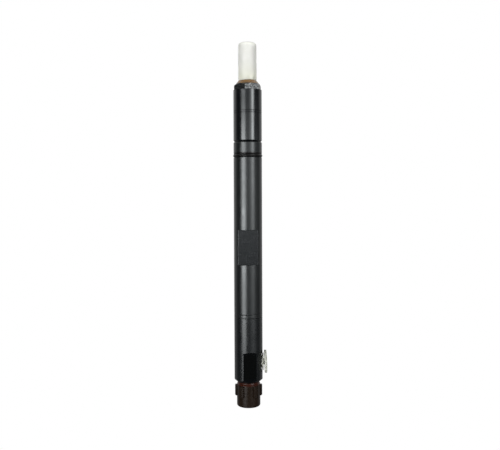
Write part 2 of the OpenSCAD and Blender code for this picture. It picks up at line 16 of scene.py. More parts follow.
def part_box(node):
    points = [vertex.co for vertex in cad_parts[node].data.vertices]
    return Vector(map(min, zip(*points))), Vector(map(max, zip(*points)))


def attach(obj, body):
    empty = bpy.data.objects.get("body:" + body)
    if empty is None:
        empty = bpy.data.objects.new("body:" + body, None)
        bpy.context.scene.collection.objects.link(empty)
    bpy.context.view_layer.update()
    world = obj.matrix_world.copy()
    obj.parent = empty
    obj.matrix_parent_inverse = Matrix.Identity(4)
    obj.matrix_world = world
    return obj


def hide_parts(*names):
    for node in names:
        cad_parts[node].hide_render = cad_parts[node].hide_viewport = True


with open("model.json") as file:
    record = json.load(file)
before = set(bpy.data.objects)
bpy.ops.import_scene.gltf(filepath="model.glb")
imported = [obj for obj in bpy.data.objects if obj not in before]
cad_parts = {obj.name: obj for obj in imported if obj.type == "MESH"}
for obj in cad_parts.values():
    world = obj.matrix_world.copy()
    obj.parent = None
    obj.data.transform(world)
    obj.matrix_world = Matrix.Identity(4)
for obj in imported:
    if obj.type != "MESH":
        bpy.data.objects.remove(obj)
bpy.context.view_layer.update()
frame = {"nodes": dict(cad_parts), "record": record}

# %% [markdown]
# ## Working in millimetres
# A maker thinks of this object in millimetres and Blender works in metres. We draw every piece in
# millimetres and scale its mesh once, when it becomes an object. `span` reads where a node of the
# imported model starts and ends, so that no height is written twice.
# %% Units and places
MM = 0.001
FULL_TURN = 2 * math.pi


def span(node, axis=2):
    """Lowest and highest coordinate of a node along one axis, in millimetres."""
    low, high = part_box(node)
    return low[axis] / MM, high[axis] / MM


barrel_low, barrel_high = span("barrel_tube")
barrel_r = (span("spacer_ring", 0)[1] - span("spacer_ring", 0)[0]) / 2
foot_top = span("spacer_ring")[0]
head_low, head_high = span("head_sleeve")
cap_low, cap_high = span("foot_cap")
print("barrel from", round(barrel_low, 1), "to", round(barrel_high, 1), "radius", round(barrel_r, 2))

# %% [markdown]
# ## The camera
# A normal lens looks at the probe from about half a metre away, at a little over half its height, so
# the top is seen slightly from below and the foot slightly from above. The camera dips two degrees,
# stands a hair to the right and leans a fifth of a degree.
# %% Camera
CAMERA_LENS = 50.0
CAMERA_DISTANCE = 540.3
CAMERA_HEIGHT = 162.7
CAMERA_SIDE = 1.54
CAMERA_DIP = math.radians(2.21)
CAMERA_LEAN = math.radians(0.22)

camera_data = bpy.data.cameras.new("camera")
camera_data.lens = CAMERA_LENS
camera = bpy.data.objects.new("camera", camera_data)
bpy.context.scene.collection.objects.link(camera)
camera.matrix_world = (
    Matrix.Translation(Vector((CAMERA_SIDE, -CAMERA_DISTANCE, CAMERA_HEIGHT)) * MM)
    @ Matrix.Rotation(math.pi / 2 - CAMERA_DIP, 4, "X")
    @ Matrix.Rotation(-CAMERA_LEAN, 4, "Z")
)
bpy.context.scene.camera = camera
print("camera at", [round(v, 3) for v in camera.location])

# %% [markdown]
# ## One helper for nodes and one for colours
# Every finish below is a small node tree. `add` makes one node with its settings and its links, so a
# tree reads as a list of steps. Colours are written as they look on a screen, and `colour` turns
# them to the linear light that the shader needs. `grain` is the pattern that nearly every finish
# starts from, and `dress` lets such patterns drive the finish.
# %% Helpers for finishes


def colour(code):
    """A screen colour such as "#1c1e20" as linear red, green, blue and alpha."""
    parts = [int(code[i:i + 2], 16) / 255 for i in (1, 3, 5)]
    linear = [c / 12.92 if c <= 0.04045 else ((c + 0.055) / 1.055) ** 2.4 for c in parts]
    return (*linear, 1.0)


def add(tree, kind, settings=None, inputs=None):
    """Adds a node, sets its properties, and sets or links its inputs."""
    node = tree.nodes.new(kind)
    for name, value in (settings or {}).items():
        setattr(node, name, value)
    for key, value in (inputs or {}).items():
        if isinstance(value, bpy.types.NodeSocket):
            tree.links.new(value, node.inputs[key])
        else:
            node.inputs[key].default_value = value
    return node


def new_finish(name, **sockets):
    """A material with one Principled shader and its uniform values set, and the material's tree."""
    material = bpy.data.materials.new(name)
    material.use_nodes = True
    shader = material.node_tree.nodes["Principled BSDF"]
    for socket, value in sockets.items():
        shader.inputs[socket.replace("_", " ")].default_value = value
    return material, material.node_tree


def grain(tree, size_mm, detail=2.0, stretch=(1, 1, 1)):
    """Noise whose blotches are size_mm across, on the piece's own coordinates."""
    place = add(tree, "ShaderNodeTexCoord")
    scale = [1 / (size_mm * MM * s) for s in stretch]
    mapped = add(tree, "ShaderNodeMapping", {}, {"Vector": place.outputs["Object"], "Scale": scale})
    noise = add(tree, "ShaderNodeTexNoise", {}, {"Vector": mapped.outputs["Vector"], "Scale": 1.0,
                                                 "Detail": detail})
    return noise.outputs["Fac"]


NOISE_MIDDLE = {"From Min": 0.3, "From Max": 0.7}


def dress(tree, tones, tone_by, roughness, rough_by, relief_mm=0.0, relief_by=None, strength=1.0):
    """Lets patterns drive a finish: its colour between two tones, its roughness and its relief."""
    shader = tree.nodes["Principled BSDF"]
    first, second = (colour(tone) if isinstance(tone, str) else tone for tone in tones)
    paint = add(tree, "ShaderNodeMix", {"data_type": "RGBA"}, {"Factor": tone_by, 6: first, 7: second})
    tree.links.new(paint.outputs[2], shader.inputs["Base Color"])
    skin = add(tree, "ShaderNodeMapRange", {}, {"Value": rough_by, **NOISE_MIDDLE,
                                                "To Min": roughness[0], "To Max": roughness[1]})
    tree.links.new(skin.outputs["Result"], shader.inputs["Roughness"])
    if relief_by is not None:
        relief = add(tree, "ShaderNodeBump", {}, {"Height": relief_by, "Distance": relief_mm * MM,
                                                  "Strength": strength})
        tree.links.new(relief.outputs["Normal"], shader.inputs["Normal"])
    return skin.outputs["Result"]


print("helpers ready")

# %% [markdown]
# ## Turned acetal
# The foot, barrel and head are black acetal, turned on a lathe. The tool leaves very fine rings, and
# the plastic is nearly as dark as a surface can be, so what the eye sees is only its reflections.
# The barrel and the foot are left satin, the head is turned finer and the display flat is polished.
# Real tool marks are about 0.1 mm apart, which is too fine to show, so they are drawn 0.5 mm apart.
# Wide, faint smudges make the gloss uneven.
# %% Turned acetal finish
COOL_TINT = (0.94, 0.985, 1.0, 1.0)


def turned_acetal(name, tone, second_tone, roughness, ring_depth_mm):
    material, tree = new_finish(name, IOR=1.48, Specular_Tint=COOL_TINT)
    rings = grain(tree, 0.5, 2.0, stretch=(40, 40, 1))
    smudges = grain(tree, 9.0, 3.0)
    haze = grain(tree, 0.9, 2.0)
    smudged = dress(tree, (tone, second_tone), smudges, (roughness - 0.03, roughness + 0.03), smudges,
                    ring_depth_mm, rings, 0.6)
    breath = add(tree, "ShaderNodeMapRange", {}, {"Value": haze, **NOISE_MIDDLE,
                                                  "To Min": -0.015, "To Max": 0.015})
    uneven = add(tree, "ShaderNodeMath", {"operation": "ADD"}, {0: smudged, 1: breath.outputs["Result"]})
    tree.links.new(uneven.outputs["Value"], tree.nodes["Principled BSDF"].inputs["Roughness"])
    return material


satin_acetal = turned_acetal("satin_turned_acetal", "#07090a", "#0c0f10", 0.32, 0.0008)
fine_acetal = turned_acetal("fine_turned_acetal", "#06070a", "#0a0c0e", 0.2, 0.0008)
foot_acetal = turned_acetal("foot_turned_acetal", "#07090a", "#0b0d0f", 0.28, 0.0008)
gloss_acetal = turned_acetal("polished_acetal", "#030405", "#060708", 0.1, 0.0005)

# %% [markdown]
# ## Milled acetal
# Where a cutter has planed a flat into the barrel, the surface has a fine, speckled tooth and the faint
# passes of the milling tool, here drawn as noise stretched across the flat. The hexagon's facets are
# left coarser still.
# %% Milled acetal finish


def milled_acetal(name):
    material, tree = new_finish(name, IOR=1.48, Specular_Tint=COOL_TINT)
    passes = grain(tree, 1.1, 2.0, stretch=(6, 6, 1))
    specks = grain(tree, 0.45, 3.0)
    dress(tree, ("#07090b", "#101316"), specks, (0.2, 0.28), passes, 0.012, specks, 0.5)
    return material


milled_flat = milled_acetal("milled_acetal")


def sawn_acetal(name):
    """The hexagon's facets: the same plastic, left coarser by the cutter, so it sparkles."""
    material, tree = new_finish(name, IOR=1.48, Specular_Tint=COOL_TINT)
    specks = grain(tree, 1.0, 3.0)
    dress(tree, ("#050607", "#0e1011"), specks, (0.08, 0.6), specks, 0.12, specks)
    return material


sawn_facet = sawn_acetal("sawn_acetal")

# %% [markdown]
# ## Smoked acrylic
# The window over the display is cast acrylic, dyed until it looks black when the display is off. It
# is flatter and glossier than anything around it. A very long, shallow wave keeps it from looking
# like a perfect mirror.
# %% Smoked acrylic finish


def smoked_acrylic(name):
    material, tree = new_finish(name, IOR=1.49)
    dust = grain(tree, 0.5, 2.0)
    dress(tree, ("#020303", "#050606"), dust, (0.07, 0.11), dust, 0.004, grain(tree, 8.0, 1.0), 0.3)
    return material


window_acrylic = smoked_acrylic("smoked_acrylic")

# %% [markdown]
# ## Nitrile rubber
# The seals are moulded nitrile rubber: carbon black, dull, with a skin of tiny bumps that spreads
# every highlight wide.
# %% Nitrile finish


def nitrile(name):
    material, tree = new_finish(name, IOR=1.52, Specular_IOR_Level=0.25)
    skin = grain(tree, 0.35, 3.0)
    dress(tree, ("#020202", "#050505"), skin, (0.28, 0.36), skin, 0.01, skin, 0.4)
    return material


seal_rubber = nitrile("nitrile_rubber")

# %% [markdown]
# ## Amber polyetherimide
# The sensor's body is polyetherimide, the clear amber plastic that laboratories use because it
# stands acid and heat. Light enters it and comes out again warmer, so it needs subsurface light
# as well as a glossy skin.
# %% Amber plastic finish


def amber_polyetherimide(name):
    material, tree = new_finish(
        name, IOR=1.65, Subsurface_Weight=0.25, Subsurface_Scale=1.0 * MM,
        Subsurface_Radius=(1.0, 0.75, 0.45))
    flow = grain(tree, 3.0, 2.0, stretch=(1, 1, 3))
    dress(tree, ("#5f4528", "#80633f"), flow, (0.1, 0.18), flow, 0.006, flow, 0.3)
    return material


amber_plastic = amber_polyetherimide("amber_polyetherimide")

# %% [markdown]
# ## Milky polyethylene
# The tip cap is thin polyethylene without dye. It is neither white paint nor clear plastic: light
# goes a few millimetres into it and scatters, which evens out its shading and softens its edges.
# Its colour is a little darker and greener towards the bottom.
# %% Milky plastic finish


def milky_polyethylene(name, low_z, high_z):
    material, tree = new_finish(
        name, IOR=1.51, Subsurface_Weight=0.9, Subsurface_Scale=5.0 * MM,
        Subsurface_Radius=(1.0, 1.0, 1.0))
    place = add(tree, "ShaderNodeTexCoord")
    axes = add(tree, "ShaderNodeSeparateXYZ", {}, {"Vector": place.outputs["Object"]})
    height = add(tree, "ShaderNodeMapRange", {"interpolation_type": "SMOOTHSTEP"},
                 {"Value": axes.outputs["Z"], "From Min": low_z * MM, "From Max": high_z * MM})
    clouds = grain(tree, 4.0, 2.0)
    fade = add(tree, "ShaderNodeMix", {"data_type": "RGBA"},
               {"Factor": height.outputs["Result"], 6: colour("#d7d9c3"), 7: colour("#e1e2d9")})
    cloudiness = add(tree, "ShaderNodeMapRange", {}, {"Value": clouds, **NOISE_MIDDLE,
                                                      "To Min": 0.0, "To Max": 0.25})
    dress(tree, (fade.outputs[2], "#d6d8c9"), cloudiness.outputs["Result"], (0.42, 0.52), clouds,
          0.008, grain(tree, 0.8, 2.0), 0.3)
    return material


milky_plastic = milky_polyethylene("milky_polyethylene", head_high, head_high + 20)

# %% [markdown]
# ## Silicone rubber
# The push button and its collar are clear silicone with a slight grey-green cloudiness. Silicone
# takes a satin skin from its mould, and its thin rims look brighter than its thick middle.
# %% Silicone finish


def moulded_silicone(name):
    material, tree = new_finish(
        name, IOR=1.41, Subsurface_Weight=0.5, Subsurface_Scale=1.6 * MM, Specular_IOR_Level=0.35,
        Subsurface_Radius=(1.0, 1.0, 0.9))
    clouds = grain(tree, 2.5, 2.0)
    dress(tree, ("#9c9e94", "#b2b3ab"), clouds, (0.30, 0.42), clouds, 0.006, grain(tree, 0.4, 2.0), 0.3)
    return material


clear_silicone = moulded_silicone("moulded_silicone")

# %% [markdown]
# ## Dark amber plastic
# The battery cap is moulded in a plastic that is brown like medicine glass. Its thick wall looks
# almost black. Light shines through the thin shoulder at the top and makes it glow red-brown; that glow is
# painted into the colour as a band near the top.
# %% Dark amber finish


def brown_moulding(name, shoulder_z, top_z):
    material, tree = new_finish(name, IOR=1.45, Specular_IOR_Level=0.2)
    place = add(tree, "ShaderNodeTexCoord")
    axes = add(tree, "ShaderNodeSeparateXYZ", {}, {"Vector": place.outputs["Object"]})
    # Painted glow: a band near the top of the cap, where light shines through the thin shoulder.
    painted_glow = add(tree, "ShaderNodeMapRange", {"interpolation_type": "SMOOTHSTEP"},
               {"Value": axes.outputs["Z"], "From Min": shoulder_z * MM, "From Max": top_z * MM})
    flow = grain(tree, 2.0, 3.0)
    body = add(tree, "ShaderNodeMix", {"data_type": "RGBA"},
               {"Factor": flow, 6: colour("#140d07"), 7: colour("#1c130b")})
    # The second tone, #2c0f05, is the painted red-brown glow of that light.
    dress(tree, (body.outputs[2], "#2c0f05"), painted_glow.outputs["Result"], (0.28, 0.34), flow,
          0.003, grain(tree, 0.7, 2.0), 0.3)
    return material


brown_plastic = brown_moulding("dark_amber_plastic", cap_high - 2.8, cap_high - 1.6)
print("outer finishes ready")

# %% [markdown]
# ## Finishes of the inner pieces
# The inside shows when the head or a cap is off. One plain pattern covers each family: metals get
# fine brushing, moulded and pressed pieces a speckle, and the circuit boards get copper tracks that
# show through the green mask as nearly straight, paler lines.
# %% Inner finishes


def speckled(name, tone, second_tone, roughness, size_mm, depth_mm=0.01, **sockets):
    """A moulded, pressed or fired surface with a fine speckle in its colour and skin."""
    material, tree = new_finish(name, **sockets)
    specks = grain(tree, size_mm, 3.0)
    dress(tree, (tone, second_tone), specks, (roughness - 0.05, roughness + 0.05), specks,
          depth_mm, specks, 0.4)
    return material


def brushed_plating(name, tone, second_tone, roughness):
    """A plated metal whose brushing runs along Z."""
    material, tree = new_finish(name, Metallic=1.0)
    brushing = grain(tree, 0.25, 2.0, stretch=(1, 1, 20))
    dress(tree, (tone, second_tone), brushing, (roughness - 0.06, roughness + 0.08), brushing,
          0.003, brushing, 0.4)
    return material


def solder_mask(name):
    """Green lacquer over copper tracks about 0.6 mm wide."""
    material, tree = new_finish(name, IOR=1.5, Coat_Weight=0.3)
    place = add(tree, "ShaderNodeTexCoord")
    tracks = add(tree, "ShaderNodeTexWave", {"bands_direction": "X"},
                 {"Vector": place.outputs["Object"], "Scale": 260.0, "Distortion": 0.6, "Detail": 0.0})
    patches = grain(tree, 5.0, 0.0)
    field = add(tree, "ShaderNodeMapRange", {}, {"Value": patches, **NOISE_MIDDLE})
    where = add(tree, "ShaderNodeMath", {"operation": "MULTIPLY"},
                {0: tracks.outputs["Fac"], 1: field.outputs["Result"]}).outputs["Value"]
    dress(tree, ("#0f4a2c", "#2f7d4a"), where, (0.25, 0.35), patches, 0.02, where, 0.5)
    return material


def printed_jacket(name, low_z, high_z):
    """The cell's shrink jacket: a copper-coloured upper third over black, with no lettering."""
    material, tree = new_finish(name, Metallic=0.35, Coat_Weight=0.5)
    place = add(tree, "ShaderNodeTexCoord")
    axes = add(tree, "ShaderNodeSeparateXYZ", {}, {"Vector": place.outputs["Object"]})
    edge_z = low_z + (high_z - low_z) * 0.66
    band = add(tree, "ShaderNodeMapRange", {}, {"Value": axes.outputs["Z"], "From Min": edge_z * MM,
                                                "From Max": (edge_z + 0.1) * MM})
    film = grain(tree, 1.5, 2.0)
    dress(tree, ("#17181a", "#b5733a"), band.outputs["Result"], (0.22, 0.32), film)
    return material


def blown_glass(name):
    """Thin pH glass: clear, with the faintest ripple from blowing."""
    material, tree = new_finish(name, IOR=1.47, Transmission_Weight=0.95)
    ripple = grain(tree, 3.0, 1.0)
    dress(tree, ("#e8f2f1", "#f4fbfa"), ripple, (0.02, 0.05), ripple, 0.01, ripple, 0.3)
    return material


steel_plating = brushed_plating("nickel_plated_steel", "#b4b6b8", "#cfd1d2", 0.25)
gold_plating = brushed_plating("gold_plated_brass", "#c9a04e", "#e0bd6e", 0.22)
ivory_nylon = speckled("ivory_nylon", "#d9d3c0", "#e6e1d2", 0.45, 0.5)
dark_abs = speckled("dark_abs", "#232629", "#303438", 0.5, 0.4)
white_ceramic = speckled("sintered_white", "#dcd9d0", "#efece4", 0.6, 0.3)
chip_epoxy = speckled("chip_epoxy", "#121214", "#1c1c1f", 0.5, 0.2)
component_tan = speckled("component_tan", "#8a6d45", "#a98b5f", 0.4, 0.4)
flex_film = speckled("polyimide_film", "#a85a14", "#c9792a", 0.3, 0.8, Coat_Weight=0.4)
lead_cover = speckled("lead_cover", "#8e2018", "#a52c20", 0.4, 0.6)
sponge_foam = speckled("cellulose_sponge", "#c9b878", "#e6daa6", 0.8, 0.7, depth_mm=0.3)
display_glass = speckled("display_glass", "#14171b", "#1b1f24", 0.12, 2.0, depth_mm=0.002)
board_green = solder_mask("solder_mask")
bulb_glass = blown_glass("blown_glass")
cell_jacket = printed_jacket("printed_jacket", *span("battery_cell"))
print("inner finishes ready")

# %% [markdown]
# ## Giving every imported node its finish
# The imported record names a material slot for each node. We give each node the finish of its slot.
# The nodes that are replaced later lose nothing by this.
# %% Finishes by slot
FINISH_OF_SLOT = {
    "satin_black": satin_acetal, "gloss_black": gloss_acetal, "smoked_window": window_acrylic,
    "display_glass": display_glass, "black_rubber": seal_rubber, "flex_film": flex_film,
    "board_green": board_green, "chip_black": chip_epoxy, "plated_steel": steel_plating,
    "ceramic_white": white_ceramic, "component_tan": component_tan, "ivory_plastic": ivory_nylon,
    "dark_plastic": dark_abs, "clear_silicone": clear_silicone, "gold_contact": gold_plating,
    "lead_cover": lead_cover, "amber_plastic": amber_plastic, "bulb_glass": bulb_glass,
    "milky_plastic": milky_plastic, "sponge": sponge_foam, "cell_jacket": cell_jacket,
    "brown_plastic": brown_plastic,
}
slot_of_node = {row["node"]: row["material_slot"] for row in frame["record"]["subparts"]}
for node_name, node_object in frame["nodes"].items():
    node_object.data.materials.clear()
    node_object.data.materials.append(FINISH_OF_SLOT[slot_of_node[node_name]])
print("nodes given a finish:", len(slot_of_node))

# %% [markdown]
# ## Drawing a turned piece
# Nearly everything here was made on a lathe, so it is drawn as a lathe makes it: one half outline,
# spun once round Z. `outline` rounds the corners of the outline with true arcs, because a real edge
# always catches a thin line of light. `turned` spins it and closes the seam and the poles.
# %% Outline and turning
ARC_STEPS = 5
TURN_STEPS = 120
WELD = 0.0005


def outline(corners):
    """Corners as (radius, height) or (radius, height, rounding); returns the rounded points."""
    points = []
    count = len(corners)
    for i, corner in enumerate(corners):
        here = Vector(corner[:2])
        if len(corner) < 3:
            points.append(here)
            continue
        back = (Vector(corners[i - 1][:2]) - here).normalized()
        ahead = (Vector(corners[(i + 1) % count][:2]) - here).normalized()
        half = back.angle(ahead) / 2
        middle = here + (back + ahead).normalized() * corner[2] / math.sin(half)
        start = here + back * corner[2] / math.tan(half) - middle
        end = here + ahead * corner[2] / math.tan(half) - middle
        sweep = start.angle_signed(end)
        for step in range(ARC_STEPS + 1):
            turn = Matrix.Rotation(-sweep * step / ARC_STEPS, 2)
            points.append(middle + turn @ start)
    return points


def turned(corners, closed=True, steps=TURN_STEPS):
    """Spins an outline round Z. An open outline starts and ends on the axis."""
    bm = bmesh.new()
    verts = [bm.verts.new((p.x, 0, p.y)) for p in outline(corners)]
    edges = [bm.edges.new(pair) for pair in zip(verts, verts[1:])]
    if closed:
        edges.append(bm.edges.new((verts[-1], verts[0])))
    bmesh.ops.spin(bm, geom=verts + edges, axis=(0, 0, 1), cent=(0, 0, 0), angle=FULL_TURN,
                   steps=steps, use_merge=True, use_duplicate=False)
    bmesh.ops.remove_doubles(bm, verts=bm.verts, dist=WELD)
    bmesh.ops.recalc_face_normals(bm, faces=bm.faces)
    return bm


print("turning ready")

# %% [markdown]
# ## Cutting and finishing
# Flats, pockets and slots are milled after turning. `milled` takes a cutter away from a piece, as the
# mill does, and `break_edges` breaks the new sharp edges with a tiny bevel. `piece` scales the mesh to
# metres, smooths it, keeps its real edges crisp and hangs it on the body that carries it.
# %% Milling and finishing
BREAK_ANGLE = math.radians(20)
GUARD = 0.25
SHARP_ANGLE = math.radians(32)


def block(low, high):
    """A box between two corners, as a cutter or a blank."""
    bm = bmesh.new()
    bmesh.ops.create_cube(bm, size=1.0)
    size = Vector(high) - Vector(low)
    bmesh.ops.scale(bm, vec=size, verts=bm.verts)
    bmesh.ops.translate(bm, vec=(Vector(high) + Vector(low)) / 2, verts=bm.verts)
    return bm


def score(bm, *heights):
    """Cuts rings into the mesh, so that the shading of a milled edge cannot spread along the tube."""
    for height in heights:
        geom = bm.verts[:] + bm.edges[:] + bm.faces[:]
        bmesh.ops.bisect_plane(bm, geom=geom, dist=WELD, plane_co=(0, 0, height), plane_no=(0, 0, 1))


def turn_about_z(bm, degrees):
    """Turns a mesh about the probe's axis."""
    bmesh.ops.rotate(bm, cent=(0, 0, 0), matrix=Matrix.Rotation(math.radians(degrees), 3, "Z"),
                     verts=bm.verts)
    return bm


def as_object(bm, name):
    mesh = bpy.data.meshes.new(name)
    bm.to_mesh(mesh)
    bm.free()
    obj = bpy.data.objects.new(name, mesh)
    bpy.context.scene.collection.objects.link(obj)
    return obj


def milled(bm, cutter, operation="DIFFERENCE"):
    """Cuts (or joins) one closed mesh with another."""
    blank, tool = as_object(bm, "blank"), as_object(cutter, "tool")
    cut = blank.modifiers.new("cut", "BOOLEAN")
    cut.operation, cut.solver, cut.object = operation, "EXACT", tool
    graph = bpy.context.evaluated_depsgraph_get()
    result = bmesh.new()
    result.from_object(blank, graph)
    for obj in (blank, tool):
        mesh = obj.data
        bpy.data.objects.remove(obj)
        bpy.data.meshes.remove(mesh)
    bmesh.ops.remove_doubles(result, verts=result.verts, dist=WELD)
    return result


def break_edges(bm, size_mm, where):
    """Bevels the sharp edges whose middle passes the test where(x, y, z)."""
    sharp = []
    for edge in bm.edges:
        middle = (edge.verts[0].co + edge.verts[1].co) / 2
        if len(edge.link_faces) == 2 and edge.calc_face_angle() > BREAK_ANGLE and where(*middle):
            sharp.append(edge)
    bmesh.ops.bevel(bm, geom=sharp, offset=size_mm, offset_type="OFFSET", segments=2, profile=0.5,
                    affect="EDGES", material=-1, clamp_overlap=True)
    return bm


def piece(name, bm, body, finish, replaced=()):
    """Makes the finished object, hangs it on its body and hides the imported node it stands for."""
    bmesh.ops.scale(bm, vec=(MM, MM, MM), verts=bm.verts)
    obj = as_object(bm, name)
    obj.data.materials.append(finish)
    obj.data.shade_smooth()
    obj.data.set_sharp_from_angle(angle=SHARP_ANGLE)
    weighted = obj.modifiers.new("weighted_normals", "WEIGHTED_NORMAL")
    weighted.keep_sharp = True
    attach(obj, body)
    if replaced:
        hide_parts(*replaced)
    print(name, len(obj.data.polygons), "faces on", body)
    return obj


print("milling ready")

# %% [markdown]
# ## Screw threads
# The head and the battery cap screw on with a 1.5 mm pitch. A thread is a small ridge with a narrow
# crest that climbs as it turns, and `spin` does exactly that when it is given a step along the axis.
# The ridge runs a little into the spigot, so the two join.
# %% Thread
PITCH = 1.5
THREAD_STEPS = 40
THREAD_TURNS = 5
THREAD_HEIGHT = 0.4


def thread(root_r, crest_r, low_z, turns):
    bm = bmesh.new()
    verts = [bm.verts.new(p) for p in ((root_r - 0.1, 0, low_z), (crest_r, 0, low_z + 0.45),
                                       (crest_r, 0, low_z + 0.6), (root_r - 0.1, 0, low_z + 1.05))]
    edges = [bm.edges.new((verts[i - 1], verts[i])) for i in range(4)]
    bmesh.ops.spin(bm, geom=verts + edges, axis=(0, 0, 1), cent=(0, 0, 0),
                   angle=FULL_TURN * turns, steps=int(THREAD_STEPS * turns),
                   dvec=(0, 0, PITCH / THREAD_STEPS), use_merge=False, use_duplicate=False)
    bmesh.ops.holes_fill(bm, edges=bm.edges, sides=4)
    bmesh.ops.recalc_face_normals(bm, faces=bm.faces)
    return bm


def joined(*meshes):
    """Several closed meshes as one."""
    result = bmesh.new()
    for bm in meshes:
        mesh = bpy.data.meshes.new("part")
        bm.to_mesh(mesh)
        bm.free()
        result.from_mesh(mesh)
        bpy.data.meshes.remove(mesh)
    return result


print("threads ready")

# %% [markdown]
# ## The barrel
# A tube of black acetal, turned and bored from bar. Its two wrench flats are milled across, which
# leaves a square ledge above and below. At the top are the groove for the outer seal and one half of
# the V-shaped joint to the head.
# %% Barrel
V_DEPTH = 0.7
V_HEIGHT = 0.8
EDGE = 0.15
SOCKET_R = 9.65
GROOVE_LOW = 194.1
GROOVE_HIGH = 197.8
GROOVE_FLOOR = 8.73
FLAT_APOTHEM = 7.92
FLAT_LOW = 111.3
FLAT_HIGH = 138.2
FAR = 60.0
LEDGE = 1.6
SEAL_LEDGE_R = 8.9
HEAD_THREAD_R = 7.05
NECK_BORE_R = 6.2
NECK_BORE_LOW = 108.0
NECK_BORE_HIGH = 191.0
BARREL_BORE_R = 9.0
SOCKET_DEPTH = 11.5
FLAT_BREAK = 0.12
FLAT_SLACK = 0.1
SQUARE_ON = 0.999

socket_end = barrel_low + SOCKET_DEPTH
barrel = turned([
    (SOCKET_R, barrel_low), (barrel_r, barrel_low, EDGE), (barrel_r, GROOVE_LOW, EDGE),
    (GROOVE_FLOOR, GROOVE_LOW), (GROOVE_FLOOR, GROOVE_HIGH), (barrel_r, GROOVE_HIGH, EDGE),
    (barrel_r, barrel_high - V_HEIGHT, EDGE), (barrel_r - V_DEPTH, barrel_high, 0.05),
    (SEAL_LEDGE_R, barrel_high), (SEAL_LEDGE_R, barrel_high - LEDGE),
    (HEAD_THREAD_R, barrel_high - LEDGE, 0.2), (HEAD_THREAD_R, NECK_BORE_HIGH),
    (NECK_BORE_R, NECK_BORE_HIGH), (NECK_BORE_R, NECK_BORE_LOW), (BARREL_BORE_R, NECK_BORE_LOW),
    (BARREL_BORE_R, socket_end), (SOCKET_R, socket_end),
])
score(barrel, FLAT_LOW - GUARD, FLAT_HIGH + GUARD)
for side in (-1, 1):
    near, beyond = sorted((side * FLAT_APOTHEM, side * FAR))
    barrel = milled(barrel, block((-FAR, near, FLAT_LOW), (FAR, beyond, FLAT_HIGH)))


def on_flats(x, y, z):
    return abs(y) > FLAT_APOTHEM - 0.3 and FLAT_LOW - 0.1 < z < FLAT_HIGH + 0.1


break_edges(barrel, FLAT_BREAK, on_flats)
barrel_shell = piece("barrel_shell", barrel, "barrel", satin_acetal, ["barrel_tube"])
barrel_shell.data.materials.append(milled_flat)
for face in barrel_shell.data.polygons:
    if abs(face.normal.y) > SQUARE_ON and FLAT_LOW * MM < face.center.z < FLAT_HIGH * MM:
        face.material_index = 1

# %% [markdown]
# ## The spacer band
# A separate ring between the foot and the barrel. Its two broken edges make the fine double line.
# %% Spacer band
SEAM_EDGE = 0.35
SEAM_GAP = 0.2
spacer_low, spacer_high = span("spacer_ring")
spacer = turned([
    (SOCKET_R, spacer_low + SEAM_GAP), (barrel_r, spacer_low + SEAM_GAP, SEAM_EDGE),
    (barrel_r, spacer_high - SEAM_GAP, SEAM_EDGE), (SOCKET_R, spacer_high - SEAM_GAP),
])
piece("spacer_band", spacer, "barrel", satin_acetal, ["spacer_ring"])

# %% [markdown]
# ## The foot
# A short turned housing. It is chamfered towards the battery cap and carries a threaded spigot below
# and a grooved one above. A shallow flat with an arched top is milled a little to the right of the
# front, an opening for the window is cut through it, and a round seat is sunk for the button.
# %% Foot
DISPLAY_TURN = 7.0
DISPLAY_APOTHEM = 9.7
FOOT_END = 19.5
DISPLAY_TOP = 43.9
BUTTON_Z = 34.9
BUTTON_SEAT_X = 10.1
BUTTON_SEAT_R = 7.55
STEM_HOLE_R = 2.55
STEM_HOLE_X = 7.8
DISPLAY_ARCH_R = 14.0
DISPLAY_HALF = DISPLAY_APOTHEM * 0.75
WINDOW_HALF = 4.4
WINDOW_LOW = 23.4
WINDOW_TOP = 42.3
WINDOW_ARCH_R = 6.9
WINDOW_JOINT = 0.05
WINDOW_BACK = 7.45
WINDOW_HOLE_BACK = 5.8
ARCH_STEPS = 24
SPIGOT_R = 9.6
SEAL_GROOVE_R = 8.85
CAP_SPIGOT_R = 7.0
CAP_SPIGOT_BORE_R = 6.2
FOOT_BORE_R = 8.8


def arched(half_width, low_z, top_z, arch_r, y_near, y_far):
    """An upright plate with an arched top, between two depths in front of the axis."""
    middle = Vector((0, top_z - arch_r))
    spread = math.asin(half_width / arch_r)
    bm = bmesh.new()
    ring = [(-half_width, low_z), (half_width, low_z)]
    for step in range(ARCH_STEPS + 1):
        angle = spread - 2 * spread * step / ARCH_STEPS
        ring.append((middle.x + arch_r * math.sin(angle), middle.y + arch_r * math.cos(angle)))
    face = bm.faces.new([bm.verts.new((x, -y_near, z)) for x, z in ring])
    swept = bmesh.ops.extrude_face_region(bm, geom=[face])
    verts = [v for v in swept["geom"] if isinstance(v, bmesh.types.BMVert)]
    bmesh.ops.translate(bm, vec=(0, y_near - y_far, 0), verts=verts)
    bmesh.ops.recalc_face_normals(bm, faces=bm.faces)
    return turn_about_z(bm, DISPLAY_TURN)


def along_x(bm, x=0.0, tilt=0.0):
    """Lays a piece turned about Z along +X at the button, tilted about Y."""
    lay = Matrix.Rotation(math.pi / 2, 3, "Y")
    bmesh.ops.rotate(bm, cent=(0, 0, 0), matrix=lay, verts=bm.verts)
    bmesh.ops.rotate(bm, cent=(x, 0, 0), matrix=Matrix.Rotation(tilt, 3, "Y"), verts=bm.verts)
    bmesh.ops.translate(bm, vec=(0, 0, BUTTON_Z), verts=bm.verts)
    return bm


def drill(radius, bottom_x):
    """A round cutter that comes in along +X at the button."""
    return along_x(turned([(0, bottom_x), (radius, bottom_x), (radius, FAR), (0, FAR)], closed=False))


